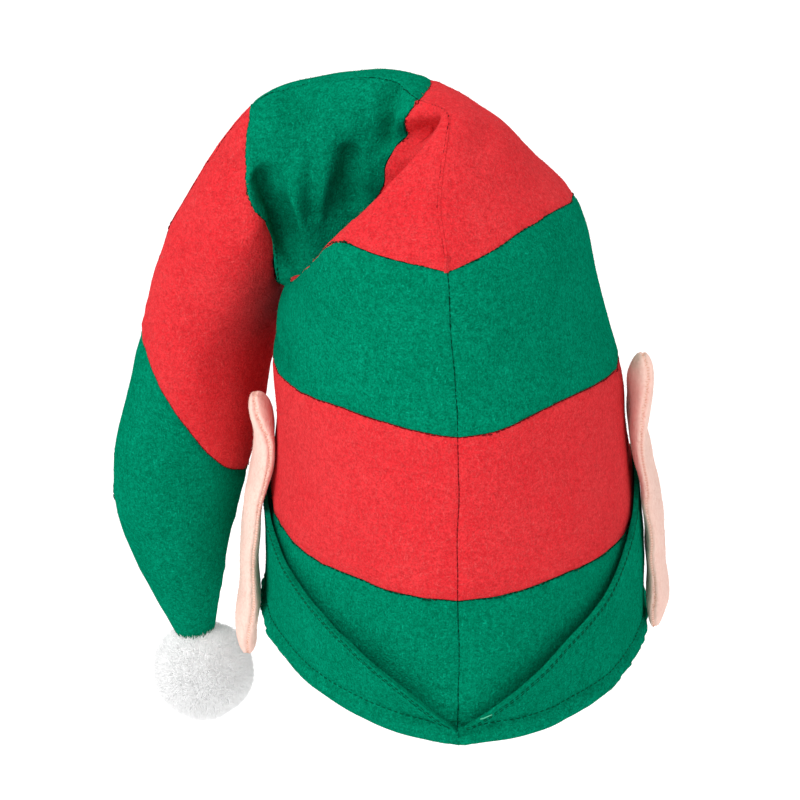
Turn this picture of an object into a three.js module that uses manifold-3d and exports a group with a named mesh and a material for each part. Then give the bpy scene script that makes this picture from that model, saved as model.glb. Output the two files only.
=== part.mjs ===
// An elf hat of striped felt. Two mirrored halves, each pieced from seven bands, are sewn along
// a front seam and a back seam. The cone stands up from the rim, creases at its left shoulder
// and hangs down beside the crown, with a pompom at its tip. A turned-up cuff and a padded
// pointed ear are sewn to each side.
// Millimetres, +Z up. The origin is the middle of the head opening, -Y is the front, and +X is
// to the right as the hat faces the viewer.
import * as THREE from "three";
import { mergeVertices } from "three/addons/utils/BufferGeometryUtils.js";
import Module from "manifold-3d";

// Crown
const rimWidth = 172;
const rimLength = 216;
const crownHeight = 262;

// Hanging tail, measured from the shoulder crease that it hangs from
const tailReach = 100;
const tailDrop = 206;
const tailBulk = 60;

const bandLength = 66;

// Felt and its seams
const feltThickness = 2;
const seamGap = 0.3;

// Shoulder crease and smaller dents
const foldDepth = 30;

// Turned-up cuff
const cuffHeight = 84;
const cuffFlare = 5;
const hemHeight = 10;
const hemPuff = 1.6;
const hemLining = 1.2;

// Padded ears
const earLength = 132;
const earWidth = 46;
const earThickness = 9;

// Pompom
const pompomDiameter = 50;
const pompomLockLength = 3;
const pompomLockWidth = 10;
const pompomLocks = 42;

// Mesh steps
const columns = { left: 18, right: 14 };
const earRing = 14;

const front = 0;
const back = Math.PI;

// Where the tail's sections are measured from: the inner end of the shoulder crease.
const crease = new THREE.Vector3(-0.7 * (rimWidth / 2), 0.1 * (rimLength / 2), 0.73 * crownHeight);
const origin = new THREE.Vector3(0, 0, 0);

// A section is the closed line around the hat at one place along it. Its row gives the points
// where the front seam, the middle of the left half, the back seam and the middle of the right
// half cross that line, as shares of the crown's or the tail's sizes. Sections with whole
// numbers are the seams between bands, from 0 at the rim to 7 at the tip. edge is how pointed the
// line is at the two seams. swell and tuck move the left half between its seam and its middle,
// swell on the front quarter and tuck on the back quarter.
const crownSize = new THREE.Vector3(rimWidth / 2, rimLength / 2, crownHeight);
const tailSize = new THREE.Vector3(tailReach, tailBulk / 2, tailDrop);
const sections = [
  {
    at: 0, from: origin, size: crownSize, edge: 1,
    front: [-0.02, -0.97, -0.01], left: [-1.02, 0, 0.03], back: [-0.02, 0.97, 0], right: [0.98, 0, 0.01],
    swell: [0, 0, 0.01], tuck: [0, 0, 0],
  },
  {
    at: 1, from: origin, size: crownSize, edge: 1.05,
    front: [-0.03, -0.95, 0.25], left: [-1.01, 0, 0.245], back: [-0.03, 0.94, 0.24], right: [0.98, 0, 0.245],
    swell: [0, 0, 0], tuck: [0, 0, 0],
  },
  {
    at: 2, from: origin, size: crownSize, edge: 1.1,
    front: [-0.03, -0.9, 0.535], left: [-0.98, -0.04, 0.505], back: [-0.07, 0.87, 0.51], right: [0.825, 0, 0.51],
    swell: [0, 0, 0], tuck: [0, 0, 0],
  },
  {
    at: 2.6, from: origin, size: crownSize, edge: 1.1,
    front: [-0.07, -0.84, 0.695], left: [-0.955, -0.07, 0.565], back: [-0.12, 0.79, 0.625], right: [0.7, 0.02, 0.655],
    swell: [0, -0.02, 0.01], tuck: [0, 0, 0],
  },
  {
    at: 3, from: origin, size: crownSize, edge: 1.1,
    front: [-0.09, -0.79, 0.805], left: [-0.94, -0.11, 0.605], back: [-0.17, 0.73, 0.7], right: [0.615, 0.04, 0.775],
    swell: [0, -0.05, 0.02], tuck: [0, 0, 0],
  },
  {
    at: 3.35, from: origin, size: crownSize, edge: 1.1,
    front: [-0.13, -0.64, 0.895], left: [-0.92, -0.15, 0.645], back: [-0.255, 0.685, 0.76], right: [0.44, 0.11, 0.835],
    swell: [-0.01, -0.09, 0.025], tuck: [0, 0, 0],
  },
  {
    at: 3.6, from: origin, size: crownSize, edge: 1.1,
    front: [-0.09, -0.445, 0.995], left: [-0.85, -0.165, 0.68], back: [-0.35, 0.65, 0.79], right: [0.245, 0.185, 0.88],
    swell: [-0.01, -0.11, 0.03], tuck: [0.01, 0.02, 0],
  },
  {
    at: 3.82, from: origin, size: crownSize, edge: 1.1,
    front: [-0.115, -0.335, 1.005], left: [-0.535, 0.02, 0.655], back: [-0.44, 0.61, 0.8], right: [0.06, 0.26, 0.91],
    swell: [0.07, 0.04, 0], tuck: [-0.07, -0.04, 0.025],
  },
  {
    at: 4, from: crease, size: tailSize, edge: 1.1,
    front: [0.44, -1.09, 0.345], left: [0.12, -0.29, -0.025], back: [0.15, 1.74, 0.095], right: [0.5, 0.91, 0.25],
    swell: [0.04, 0.2, 0.01], tuck: [0, 0, -0.01],
  },
  {
    at: 4.25, from: crease, size: tailSize, edge: 1.1,
    front: [0.26, -0.63, 0.37], left: [0.04, -0.69, 0.025], back: [0.07, 1.62, 0.085], right: [0.3, 1.11, 0.255],
    swell: [0, 0.2, 0.01], tuck: [0, 0, -0.02],
  },
  {
    at: 4.5, from: crease, size: tailSize, edge: 1.1,
    front: [0.06, -0.46, 0.355], left: [-0.03, -0.83, 0.035], back: [0, 1.52, 0.055], right: [0.14, 1.21, 0.235],
    swell: [0, 0.13, 0], tuck: [-0.02, 0, -0.035],
  },
  {
    at: 4.75, from: crease, size: tailSize, edge: 1.1,
    front: [-0.13, -0.33, 0.335], left: [-0.12, -0.83, 0.02], back: [-0.06, 1.44, 0.01], right: [-0.03, 1.27, 0.195],
    swell: [0, 0, 0], tuck: [-0.03, 0, -0.045],
  },
  {
    at: 5, from: crease, size: tailSize, edge: 1.15,
    front: [-0.32, -0.19, 0.285], left: [-0.23, -0.79, 0.005], back: [-0.11, 1.34, -0.05], right: [-0.2, 1.37, 0.11],
    swell: [0, 0, 0], tuck: [-0.03, 0, -0.04],
  },
  {
    at: 5.5, from: crease, size: tailSize, edge: 1.2,
    front: [-0.7, 0.11, -0.005], left: [-0.47, -0.73, -0.19], back: [-0.22, 1.14, -0.305], right: [-0.46, 1.44, -0.18],
    swell: [0, 0, 0], tuck: [-0.04, 0, -0.01],
  },
  {
    at: 6, from: crease, size: tailSize, edge: 1.25,
    front: [-0.84, 0.31, -0.265], left: [-0.62, -0.56, -0.455], back: [-0.37, 0.64, -0.625], right: [-0.6, 1.31, -0.455],
    swell: [0, 0, 0], tuck: [0, 0, 0],
  },
  {
    at: 6.5, from: crease, size: tailSize, edge: 1.25,
    front: [-1.01, 0.31, -0.625], left: [-0.74, -0.56, -0.725], back: [-0.47, 0.37, -0.81], right: [-0.74, 1.11, -0.725],
    swell: [0, 0, 0], tuck: [0, 0, 0],
  },
  {
    at: 6.75, from: crease, size: tailSize, edge: 1.15,
    front: [-0.93, 0.31, -0.82], left: [-0.71, -0.29, -0.88], back: [-0.51, 0.34, -0.92], right: [-0.71, 0.91, -0.88],
    swell: [0, 0, 0], tuck: [0, 0, 0],
  },
  {
    at: 7, from: crease, size: tailSize, edge: 1,
    front: [-0.73, 0.31, -1.045], left: [-0.64, 0.04, -1.045], back: [-0.55, 0.31, -1.045], right: [-0.64, 0.57, -1.045],
    swell: [0, 0, 0], tuck: [0, 0, 0],
  },
];

// Where a seam between bands leaves its section on one half, as shares of a band's length:
// skew grows towards the middle of the half, and bow is highest a quarter of the way round.
const seams = [
  { seam: 1, side: "left", skew: 0, bow: 0.02 },
  { seam: 1, side: "right", skew: 0, bow: 0.04 },
  { seam: 2, side: "left", skew: 0.05, bow: 0.1 },
  { seam: 2, side: "right", skew: 0, bow: 0.12 },
  { seam: 3, side: "left", skew: 0.58, bow: 0.1 },
  { seam: 3, side: "right", skew: 0.1, bow: 0.08 },
  { seam: 4, side: "left", skew: 0.06, bow: 0 },
  { seam: 4, side: "right", skew: 0.12, bow: 0 },
  { seam: 5, side: "left", skew: 0, bow: 0.07 },
];

// A fold is a line on one half, given by rows: at is the place along the hat, around is the
// share of the way from the front seam to the back seam, depth is a share of the fold depth
// (below 0 it is a ridge) and width is a share of a band's length.
const folds = [
  { fold: "ear dimple left", side: "left", at: 1.5, around: 0.36, depth: 0.15, width: 0.28 },
  { fold: "ear dimple left", side: "left", at: 1.6, around: 0.5, depth: 0.12, width: 0.28 },
  { fold: "ear dimple right", side: "right", at: 0.7, around: 0.46, depth: 0.12, width: 0.34 },
  { fold: "ear dimple right", side: "right", at: 1.35, around: 0.46, depth: 0.16, width: 0.34 },
  { fold: "side notch", side: "left", at: 2.3, around: 0.42, depth: 0.12, width: 0.12 },
  { fold: "side notch", side: "left", at: 2.35, around: 0.5, depth: 0.12, width: 0.12 },
  { fold: "deep wrinkle", side: "left", at: 4.78, around: 0.2, depth: 0.12, width: 0.12 },
  { fold: "deep wrinkle", side: "left", at: 4.84, around: 0.34, depth: 0.3, width: 0.14 },
  { fold: "deep wrinkle", side: "left", at: 4.88, around: 0.48, depth: 0.3, width: 0.14 },
  { fold: "inner wrinkle", side: "left", at: 4.24, around: 0.28, depth: 0.07, width: 0.12 },
  { fold: "inner wrinkle", side: "left", at: 4.3, around: 0.46, depth: 0.14, width: 0.12 },
  { fold: "seam dimple", side: "left", at: 4.08, around: 0.1, depth: 0.1, width: 0.12 },
  { fold: "seam dimple", side: "left", at: 4.16, around: 0.2, depth: 0.16, width: 0.12 },
  { fold: "end dimple", side: "left", at: 4.82, around: 0.1, depth: 0.1, width: 0.12 },
  { fold: "end dimple", side: "left", at: 4.74, around: 0.18, depth: 0.08, width: 0.12 },
  { fold: "upper tail dent", side: "left", at: 5.35, around: 0.2, depth: 0.14, width: 0.2 },
  { fold: "upper tail dent", side: "left", at: 5.5, around: 0.34, depth: 0.1, width: 0.2 },
  { fold: "inner tail dent", side: "left", at: 5.3, around: 0.5, depth: 0.14, width: 0.18 },
  { fold: "inner tail dent", side: "left", at: 5.6, around: 0.56, depth: 0.1, width: 0.18 },
];

// Each band: its colour, its rows of faces along the hat, and the rows that keep to a given
// place along it, so that an edge of the crease falls on them.
const bands = [
  { name: "brim_band", colour: "green", rows: 4, stops: [] },
  { name: "lower_band", colour: "red", rows: 4, stops: [] },
  { name: "middle_band", colour: "green", rows: 6, stops: [] },
  { name: "shoulder_band", colour: "red", rows: 12, stops: [[5, 3.6], [9, 3.82]] },
  { name: "fold_band", colour: "green", rows: 10, stops: [] },
  { name: "tail_band", colour: "red", rows: 6, stops: [] },
  { name: "tip_band", colour: "green", rows: 7, stops: [] },
];

// The cuff's top edge: around is the share of the way from the front seam to the back seam, and
// the same again from the back. left and right are heights as shares of the cuff's height, and
// flare is how far the edge stands off the crown.
const cuffEdge = [
  { around: 0, left: 0.05, right: 0.05, flare: 0.1 },
  { around: 0.03, left: 0.15, right: 0.12, flare: 0.5 },
  { around: 0.08, left: 0.29, right: 0.26, flare: 0.9 },
  { around: 0.12, left: 0.4, right: 0.37, flare: 1 },
  { around: 0.16, left: 0.49, right: 0.47, flare: 0.9 },
  { around: 0.21, left: 0.59, right: 0.56, flare: 0.7 },
  { around: 0.26, left: 0.67, right: 0.65, flare: 0.5 },
  { around: 0.32, left: 0.76, right: 0.77, flare: 0.3 },
  { around: 0.38, left: 0.84, right: 0.9, flare: 0.2 },
  { around: 0.44, left: 0.9, right: 0.98, flare: 0.15 },
  { around: 0.5, left: 0.92, right: 1, flare: 0.1 },
];

// The ears, from the lobe at 0 to the point at 1. ahead and behind are the front and back edges
// as shares of the ear's width, thick is a share of its thickness, left and right are the gaps
// between each ear and the crown as shares of the thickness, and turnLeft and turnRight swing
// the front edge out and the back edge in, as slopes.
const earRows = [
  { at: 0, ahead: -0.36, behind: -0.14, thick: 0.35, left: 0.75, right: 0.4, turnLeft: 0, turnRight: 0 },
  { at: 0.03, ahead: -0.46, behind: 0, thick: 0.95, left: 0.75, right: 0.4, turnLeft: 0, turnRight: 0 },
  { at: 0.1, ahead: -0.52, behind: 0.16, thick: 1.15, left: 0.7, right: 0.44, turnLeft: 0, turnRight: 0 },
  { at: 0.22, ahead: -0.55, behind: 0.3, thick: 1.05, left: 0.55, right: 0.39, turnLeft: 0, turnRight: 0 },
  { at: 0.36, ahead: -0.56, behind: 0.38, thick: 0.95, left: 0.44, right: 0.36, turnLeft: 0, turnRight: 0 },
  { at: 0.5, ahead: -0.56, behind: 0.4, thick: 0.9, left: 0.43, right: 0.36, turnLeft: 0, turnRight: 0 },
  { at: 0.62, ahead: -0.55, behind: 0.36, thick: 0.88, left: 0.26, right: 0.2, turnLeft: 0, turnRight: 0.06 },
  { at: 0.7, ahead: -0.53, behind: 0.28, thick: 0.9, left: 0, right: 0.06, turnLeft: 0, turnRight: 0.08 },
  { at: 0.78, ahead: -0.5, behind: 0.18, thick: 0.95, left: 0, right: 0.14, turnLeft: 0, turnRight: 0.16 },
  { at: 0.86, ahead: -0.46, behind: 0.06, thick: 1.05, left: 0.1, right: 0.26, turnLeft: 0.1, turnRight: 0.3 },
  { at: 0.94, ahead: -0.4, behind: -0.04, thick: 1.15, left: 0.38, right: 0.55, turnLeft: 0.15, turnRight: 0.35 },
  { at: 0.985, ahead: -0.34, behind: -0.1, thick: 0.85, left: 0.5, right: 0.75, turnLeft: 0.1, turnRight: 0.2 },
  { at: 1, ahead: -0.3, behind: -0.16, thick: 0.35, left: 0.52, right: 0.8, turnLeft: 0, turnRight: 0 },
];
const earLift = { left: -0.09, right: 0.04 };
const earShift = { left: 0, right: -0.1 };
const earStretch = { left: 1, right: 1.03 };

// The pompom's middle, from the middle of the hat's tip, as shares of its radius.
const pompomSet = [0.13, -0.14, -0.64];

const felt = {
  green: new THREE.MeshStandardMaterial({ color: 0x00794f, roughness: 0.95, metalness: 0 }),
  red: new THREE.MeshStandardMaterial({ color: 0xe0262e, roughness: 0.95, metalness: 0 }),
};
const velour = new THREE.MeshStandardMaterial({ color: 0xf3c9b4, roughness: 0.9, metalness: 0 });
const fluff = new THREE.MeshStandardMaterial({ color: 0xf6f6f6, roughness: 1, metalness: 0 });

const wasm = await Module();
wasm.setup();

// Share of the way from knot a to knot b with the slopes that pass smoothly through both.
function hermite(before, a, b, after, at) {
  const span = b.at - a.at;
  const t = (at - a.at) / span;
  const slopeA = (b.value - before.value) / (b.at - before.at || span);
  const slopeB = (after.value - a.value) / (after.at - a.at || span);
  const t2 = t * t;
  const t3 = t2 * t;
  return (
    (2 * t3 - 3 * t2 + 1) * a.value +
    (t3 - 2 * t2 + t) * span * slopeA +
    (3 * t2 - 2 * t3) * b.value +
    (t3 - t2) * span * slopeB
  );
}

// A smooth reading of one number of a table's rows, each of which has an at.
function readRows(rows, at, valueOf) {
  const last = rows.length - 2;
  let i = 0;
  while (i < last && rows[i + 1].at < at) i += 1;
  const knot = (k) => {
    const row = rows[Math.min(Math.max(k, 0), rows.length - 1)];
    return { at: row.at, value: valueOf(row) };
  };
  return hermite(knot(i - 1), knot(i), knot(i + 1), knot(i + 2), at);
}

// Where a named seam or middle line of the hat runs.
function railPoint(name, at) {
  const part = (axis) =>
    readRows(sections, at, (row) => row.from.getComponent(axis) + row[name][axis] * row.size.getComponent(axis));
  return new THREE.Vector3(part(0), part(1), part(2));
}

// The way from a seam line straight towards one half.
function seamSide(side, at, seam) {
  const step = 0.02;
  const run = railPoint(seam, at + step).sub(railPoint(seam, at - step));
  const centre = railPoint("front", at).add(railPoint("back", at)).multiplyScalar(0.5);
  const way = run.cross(railPoint(seam, at).sub(centre)).normalize();
  return way.dot(railPoint(side, at).sub(centre)) < 0 ? way.negate() : way;
}

// The smooth hat without its dents. inset moves the line inwards in its own section.
function smoothPoint(side, at, angle, inset) {
  const frontPoint = railPoint("front", at);
  const backPoint = railPoint("back", at);
  const centre = frontPoint.clone().add(backPoint).multiplyScalar(0.5);
  const along = frontPoint.clone().sub(centre);
  const across = railPoint(side, at).sub(centre);
  const edge = readRows(sections, at, (row) => row.edge);
  const seamShare = 1 - (inset * 1.3) / along.length();
  const halfShare = 1 - inset / across.length();
  const parting = seamSide(side, at, angle < Math.PI / 2 ? "front" : "back").multiplyScalar(seamGap / 2);
  const swell = new THREE.Vector3();
  if (side === "left") {
    const name = angle < Math.PI / 2 ? "swell" : "tuck";
    const part = (axis) => readRows(sections, at, (row) => row[name][axis] * row.size.getComponent(axis));
    swell.set(part(0), part(1), part(2)).multiplyScalar(Math.sin(2 * angle) ** 2);
  }
  return centre
    .addScaledVector(along, seamShare * Math.cos(angle))
    .addScaledVector(across, halfShare * Math.max(Math.sin(angle), 0) ** edge)
    .add(parting)
    .add(swell);
}

// The place along the hat where a seam between bands runs, at one angle around it.
function seamAt(side, seam, angle) {
  const row = seams.find((one) => one.seam === seam && one.side === side);
  if (!row) return seam;
  return seam + row.skew * Math.sin(angle) + row.bow * Math.sin(2 * angle) ** 2;
}

// The way into the hat from one place on its smooth surface.
function inward(side, at, angle) {
  const step = 0.02;
  const alongHat = smoothPoint(side, at + step, angle, 0).sub(smoothPoint(side, at - step, angle, 0));
  const around = smoothPoint(side, at, angle + step, 0).sub(smoothPoint(side, at, angle - step, 0));
  const way = new THREE.Vector3().crossVectors(alongHat, around).normalize();
  return side === "left" ? way.negate() : way;
}

// How far the felt is pushed in at one place, by the folds and dents together.
function foldPush(side, at, angle) {
  const spread = smoothPoint(side, at, Math.PI / 2, 0).distanceTo(railPoint("front", at)) * 2;
  let push = 0;
  for (const name of new Set(folds.filter((row) => row.side === side).map((row) => row.fold))) {
    const line = folds.filter((row) => row.fold === name);
    let nearest = Infinity;
    let here = 0;
    for (let i = 0; i + 1 < line.length; i += 1) {
      const [a, b] = [line[i], line[i + 1]];
      const run = new THREE.Vector2((b.at - a.at) * bandLength, (b.around - a.around) * spread);
      const reach = new THREE.Vector2((at - a.at) * bandLength, (angle / Math.PI - a.around) * spread);
      const t = THREE.MathUtils.clamp(reach.dot(run) / run.lengthSq(), 0, 1);
      const width = THREE.MathUtils.lerp(a.width, b.width, t) * bandLength;
      const away = reach.distanceTo(run.clone().multiplyScalar(t)) / width;
      if (away < nearest) {
        nearest = away;
        here = THREE.MathUtils.lerp(a.depth, b.depth, t) * foldDepth * Math.exp(-away * away);
      }
    }
    push += here;
  }
  return push;
}

// One point of a half's outer surface: the smooth hat, pushed in along its folds. inset is how
// far inside that surface the point lies.
function panelPoint(side, at, angle, inset = 0) {
  const push = foldPush(side, at, angle) * Math.min(1, Math.sin(angle) * 1.6) ** 2;
  return smoothPoint(side, at, angle, inset).addScaledVector(inward(side, at, angle), push);
}

// The way into the hat from a seam line, the same for both halves.
function seamInward(at, seam) {
  const step = 0.02;
  const run = railPoint(seam, at + step).sub(railPoint(seam, at - step)).normalize();
  const centre = railPoint("front", at).add(railPoint("back", at)).multiplyScalar(0.5);
  const way = centre.sub(railPoint(seam, at));
  return way.addScaledVector(run, -way.dot(run)).normalize();
}

// The point below it on the inner surface. The way down turns to that of the seam beside it,
// and from is the seam between bands that the point lies at, if it does.
function liningPoint(side, at, angle, from = at) {
  const step = 0.008;
  const [before, after] = [Math.max(angle - step, 0), Math.min(angle + step, back)];
  const alongHat = panelPoint(side, from + step, angle).sub(panelPoint(side, from - step, angle));
  const around = panelPoint(side, from, after).sub(panelPoint(side, from, before));
  const way = new THREE.Vector3().crossVectors(alongHat, around).normalize();
  if (side === "left") way.negate();
  const own = Math.min(1, Math.sin(angle) * 2);
  const seamWay = seamInward(from, angle < Math.PI / 2 ? "front" : "back");
  const drop = way.clone().multiplyScalar(own).addScaledVector(seamWay, 1 - own).normalize();
  const reach = THREE.MathUtils.lerp(1, 1 / Math.max(drop.dot(way), 0.65), own);
  return panelPoint(side, at, angle).addScaledVector(drop, feltThickness * reach);
}

// A closed wall from a grid of outer points and the same grid of inner points.
function wallGeometry(outer, inner) {
  const rows = outer.length;
  const across = outer[0].length;
  const points = [...outer.flat(), ...inner.flat()];
  const index = [];
  const id = (layer, r, c) => layer * rows * across + r * across + c;
  const quad = (a, b, c, d) => index.push(a, b, c, a, c, d);
  for (let r = 0; r < rows - 1; r += 1) {
    for (let c = 0; c < across - 1; c += 1) {
      quad(id(0, r, c), id(0, r, c + 1), id(0, r + 1, c + 1), id(0, r + 1, c));
      quad(id(1, r, c), id(1, r + 1, c), id(1, r + 1, c + 1), id(1, r, c + 1));
    }
    quad(id(0, r + 1, 0), id(1, r + 1, 0), id(1, r, 0), id(0, r, 0));
    quad(id(0, r, across - 1), id(1, r, across - 1), id(1, r + 1, across - 1), id(0, r + 1, across - 1));
  }
  for (let c = 0; c < across - 1; c += 1) {
    quad(id(0, 0, c), id(1, 0, c), id(1, 0, c + 1), id(0, 0, c + 1));
    quad(id(1, rows - 1, c + 1), id(1, rows - 1, c), id(0, rows - 1, c), id(0, rows - 1, c + 1));
  }
  return facingOut(points, index);
}

// A geometry from points and triangles, turned round if its faces point inwards.
function facingOut(points, index) {
  const positions = points.flatMap((p) => [p.x, p.y, p.z]);
  let volume = 0;
  for (let i = 0; i < index.length; i += 3) {
    const [a, b, c] = [points[index[i]], points[index[i + 1]], points[index[i + 2]]];
    volume += a.dot(new THREE.Vector3().crossVectors(b, c));
  }
  if (volume < 0) {
    for (let i = 0; i < index.length; i += 3) [index[i + 1], index[i + 2]] = [index[i + 2], index[i + 1]];
  }
  const geometry = new THREE.BufferGeometry();
  geometry.setAttribute("position", new THREE.Float32BufferAttribute(positions, 3));
  geometry.setIndex(index);
  return geometry;
}

// The place along the hat of one row of faces.
function rowPlace(row, rows, start, end, stops) {
  const least = (end - start) / (2 * rows);
  let before = [0, start];
  for (const [stopRow, place] of [...stops, [rows, end]]) {
    const after = [stopRow, Math.min(Math.max(place, before[1] + least * (stopRow - before[0])), end)];
    if (row <= stopRow) {
      return THREE.MathUtils.mapLinear(row, before[0], after[0], before[1], after[1]);
    }
    before = after;
  }
  return end;
}

// The share of a band that the gap at one of its seams takes.
function seamTrim(side, at, angle) {
  const step = 0.01;
  const run = smoothPoint(side, at + step, angle, 0).distanceTo(smoothPoint(side, at - step, angle, 0));
  return (seamGap / 2 / run) * 2 * step;
}

// One half of one band.
function bandHalf(side, first, rows, stops) {
  const outer = [];
  const inner = [];
  for (let r = 0; r <= rows; r += 1) {
    const outerRow = [];
    const innerRow = [];
    for (let c = 0; c <= columns[side]; c += 1) {
      const angle = front + ((back - front) * c) / columns[side];
      const start = seamAt(side, first, angle);
      const end = seamAt(side, first + 1, angle);
      const places = [start + seamTrim(side, start, angle), end - seamTrim(side, end, angle)];
      const at = rowPlace(r, rows, places[0], places[1], stops);
      outerRow.push(panelPoint(side, at, angle));
      const from = r === 0 ? start : r === rows ? end : at;
      innerRow.push(liningPoint(side, at, angle, from));
    }
    outer.push(outerRow);
    inner.push(innerRow);
  }
  return wallGeometry(outer, inner);
}

// One half of the cuff. Its section is a hook: the felt hangs inside the rim as a short lining,
// passes below the edge of the crown, and stands up outside it to the slanting top edge.
function cuffHalf(side) {
  const rings = [];
  for (let c = 0; c <= columns[side]; c += 1) {
    const angle = (back * c) / columns[side];
    const around = Math.min(angle, back - angle) / back;
    const rows = cuffEdge.map((row) => ({ ...row, at: row.around }));
    const base = smoothPoint(side, 0, angle, 0).z;
    const top = readRows(rows, around, (row) => row[side]) * cuffHeight - base;
    const flare = readRows(rows, around, (row) => row.flare) * cuffFlare;
    const hem = Math.min(hemHeight, top * 0.6);
    const under = seamGap + hemLining;
    const legs = [0.3, 0.65, 1].map((share) => [flare * share, hem + (top - hem) * share]);
    const section = [
      [-feltThickness - seamGap, hemHeight],
      [-feltThickness - seamGap, -seamGap],
      [seamGap, -seamGap],
      [seamGap, hem],
      ...legs.map(([away, z]) => [seamGap + away, z]),
      ...legs.map(([away, z]) => [seamGap + away + feltThickness, z]).reverse(),
      [seamGap + feltThickness, hem],
      [seamGap + feltThickness + hemPuff, hem * 0.6],
      [seamGap + feltThickness + hemPuff * 0.8, hem * 0.2],
      [seamGap + feltThickness * 0.6, -under],
      [-feltThickness, -under],
      [-feltThickness - under, 0],
      [-feltThickness - under, hemHeight],
    ];
    rings.push(section.map(([away, z]) => {
      const at = Math.max(z, 0) / bandLength;
      return panelPoint(side, at, angle, -away).add(new THREE.Vector3(0, 0, Math.min(z, 0)));
    }));
  }
  return loftGeometry(rings);
}

// A closed body through rings of points, with a flat face at each end.
function loftGeometry(rings) {
  const count = rings[0].length;
  const points = rings.flat();
  const index = [];
  for (let r = 0; r + 1 < rings.length; r += 1) {
    for (let i = 0; i < count; i += 1) {
      const [a, b] = [r * count + i, r * count + ((i + 1) % count)];
      index.push(a, b, b + count, a, b + count, a + count);
    }
  }
  for (const [ring, flip] of [[0, true], [rings.length - 1, false]]) {
    const plane = rings[ring];
    const axis = rings[Math.min(ring + 1, rings.length - 1)][0].clone().sub(rings[Math.max(ring - 1, 0)][0]);
    for (const [a, b, c] of flatFaces(plane, axis)) {
      const face = [ring * count + a, ring * count + b, ring * count + c];
      index.push(...(flip ? face.reverse() : face));
    }
  }
  return facingOut(points, index);
}

// The triangles that fill a ring, wound the way its points run.
function flatFaces(ring, axis) {
  const normal = axis.clone().normalize();
  const across = new THREE.Vector3(0, 0, 1).cross(normal);
  if (across.lengthSq() < 0.01) across.set(1, 0, 0);
  across.normalize();
  const up = normal.clone().cross(across);
  const flat = ring.map((p) => new THREE.Vector2(p.dot(across), p.dot(up)));
  const faces = THREE.ShapeUtils.triangulateShape(flat, []);
  const area = THREE.ShapeUtils.area(flat);
  return faces.map(([a, b, c]) => {
    const turn = THREE.ShapeUtils.area([flat[a], flat[b], flat[c]]);
    return turn * area < 0 ? [a, c, b] : [a, b, c];
  });
}

// The sideways place of the crown's outer surface at one depth and height.
function crownSide(side, y, z) {
  let [low, high] = [0.02, back - 0.02];
  let point = null;
  for (let i = 0; i < 14; i += 1) {
    const angle = (low + high) / 2;
    let [under, over] = [0, 3];
    for (let j = 0; j < 14; j += 1) {
      const at = (under + over) / 2;
      point = panelPoint(side, at, angle);
      if (point.z < z) under = at;
      else over = at;
    }
    if (point.y < y) low = angle;
    else high = angle;
  }
  return point.x;
}

// One padded ear. It lies against the crown where its row leaves no gap.
function ear(side) {
  const out = side === "left" ? -1 : 1;
  const lift = earLift[side] * earLength;
  const rings = earRows.map((row) => {
    const z = lift + row.at * earLength * earStretch[side];
    const ahead = (row.ahead + earShift[side]) * earWidth;
    const behind = (row.behind + earShift[side]) * earWidth;
    const thick = row.thick * earThickness;
    const middle = (ahead + behind) / 2;
    const points = [];
    for (let i = 0; i < earRing; i += 1) {
      const turn = (2 * Math.PI * i) / earRing;
      const [sin, cos] = [Math.sin(turn), Math.cos(turn)];
      const y = middle + (Math.sign(cos) * Math.abs(cos) ** 0.8 * (behind - ahead)) / 2;
      const away = (Math.sign(sin) * Math.abs(sin) ** 0.8 * thick) / 2;
      const gap = Math.max(row[side] * earThickness, seamGap) + earThickness / 2;
      const swing = (side === "left" ? row.turnLeft : row.turnRight) * (middle - y);
      const x = crownSide(side, y, Math.max(z, 0)) + out * (gap + away + swing);
      points.push(new THREE.Vector3(x, y, z));
    }
    return points;
  });
  return loftGeometry(rings);
}

function solidOf(geometry) {
  const shape = geometry.clone();
  shape.deleteAttribute("normal");
  shape.deleteAttribute("uv");
  const merged = mergeVertices(shape, 1e-4);
  return new wasm.Manifold(new wasm.Mesh({
    numProp: 3,
    vertProperties: new Float32Array(merged.attributes.position.array),
    triVerts: new Uint32Array(merged.index.array),
  }));
}

function geometryOf(solid) {
  const mesh = solid.getMesh();
  const geometry = new THREE.BufferGeometry();
  const positions = [];
  for (let i = 0; i < mesh.numVert; i += 1) {
    for (let k = 0; k < 3; k += 1) positions.push(mesh.vertProperties[i * mesh.numProp + k]);
  }
  geometry.setAttribute("position", new THREE.Float32BufferAttribute(positions, 3));
  geometry.setIndex(Array.from(mesh.triVerts));
  return geometry;
}

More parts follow.
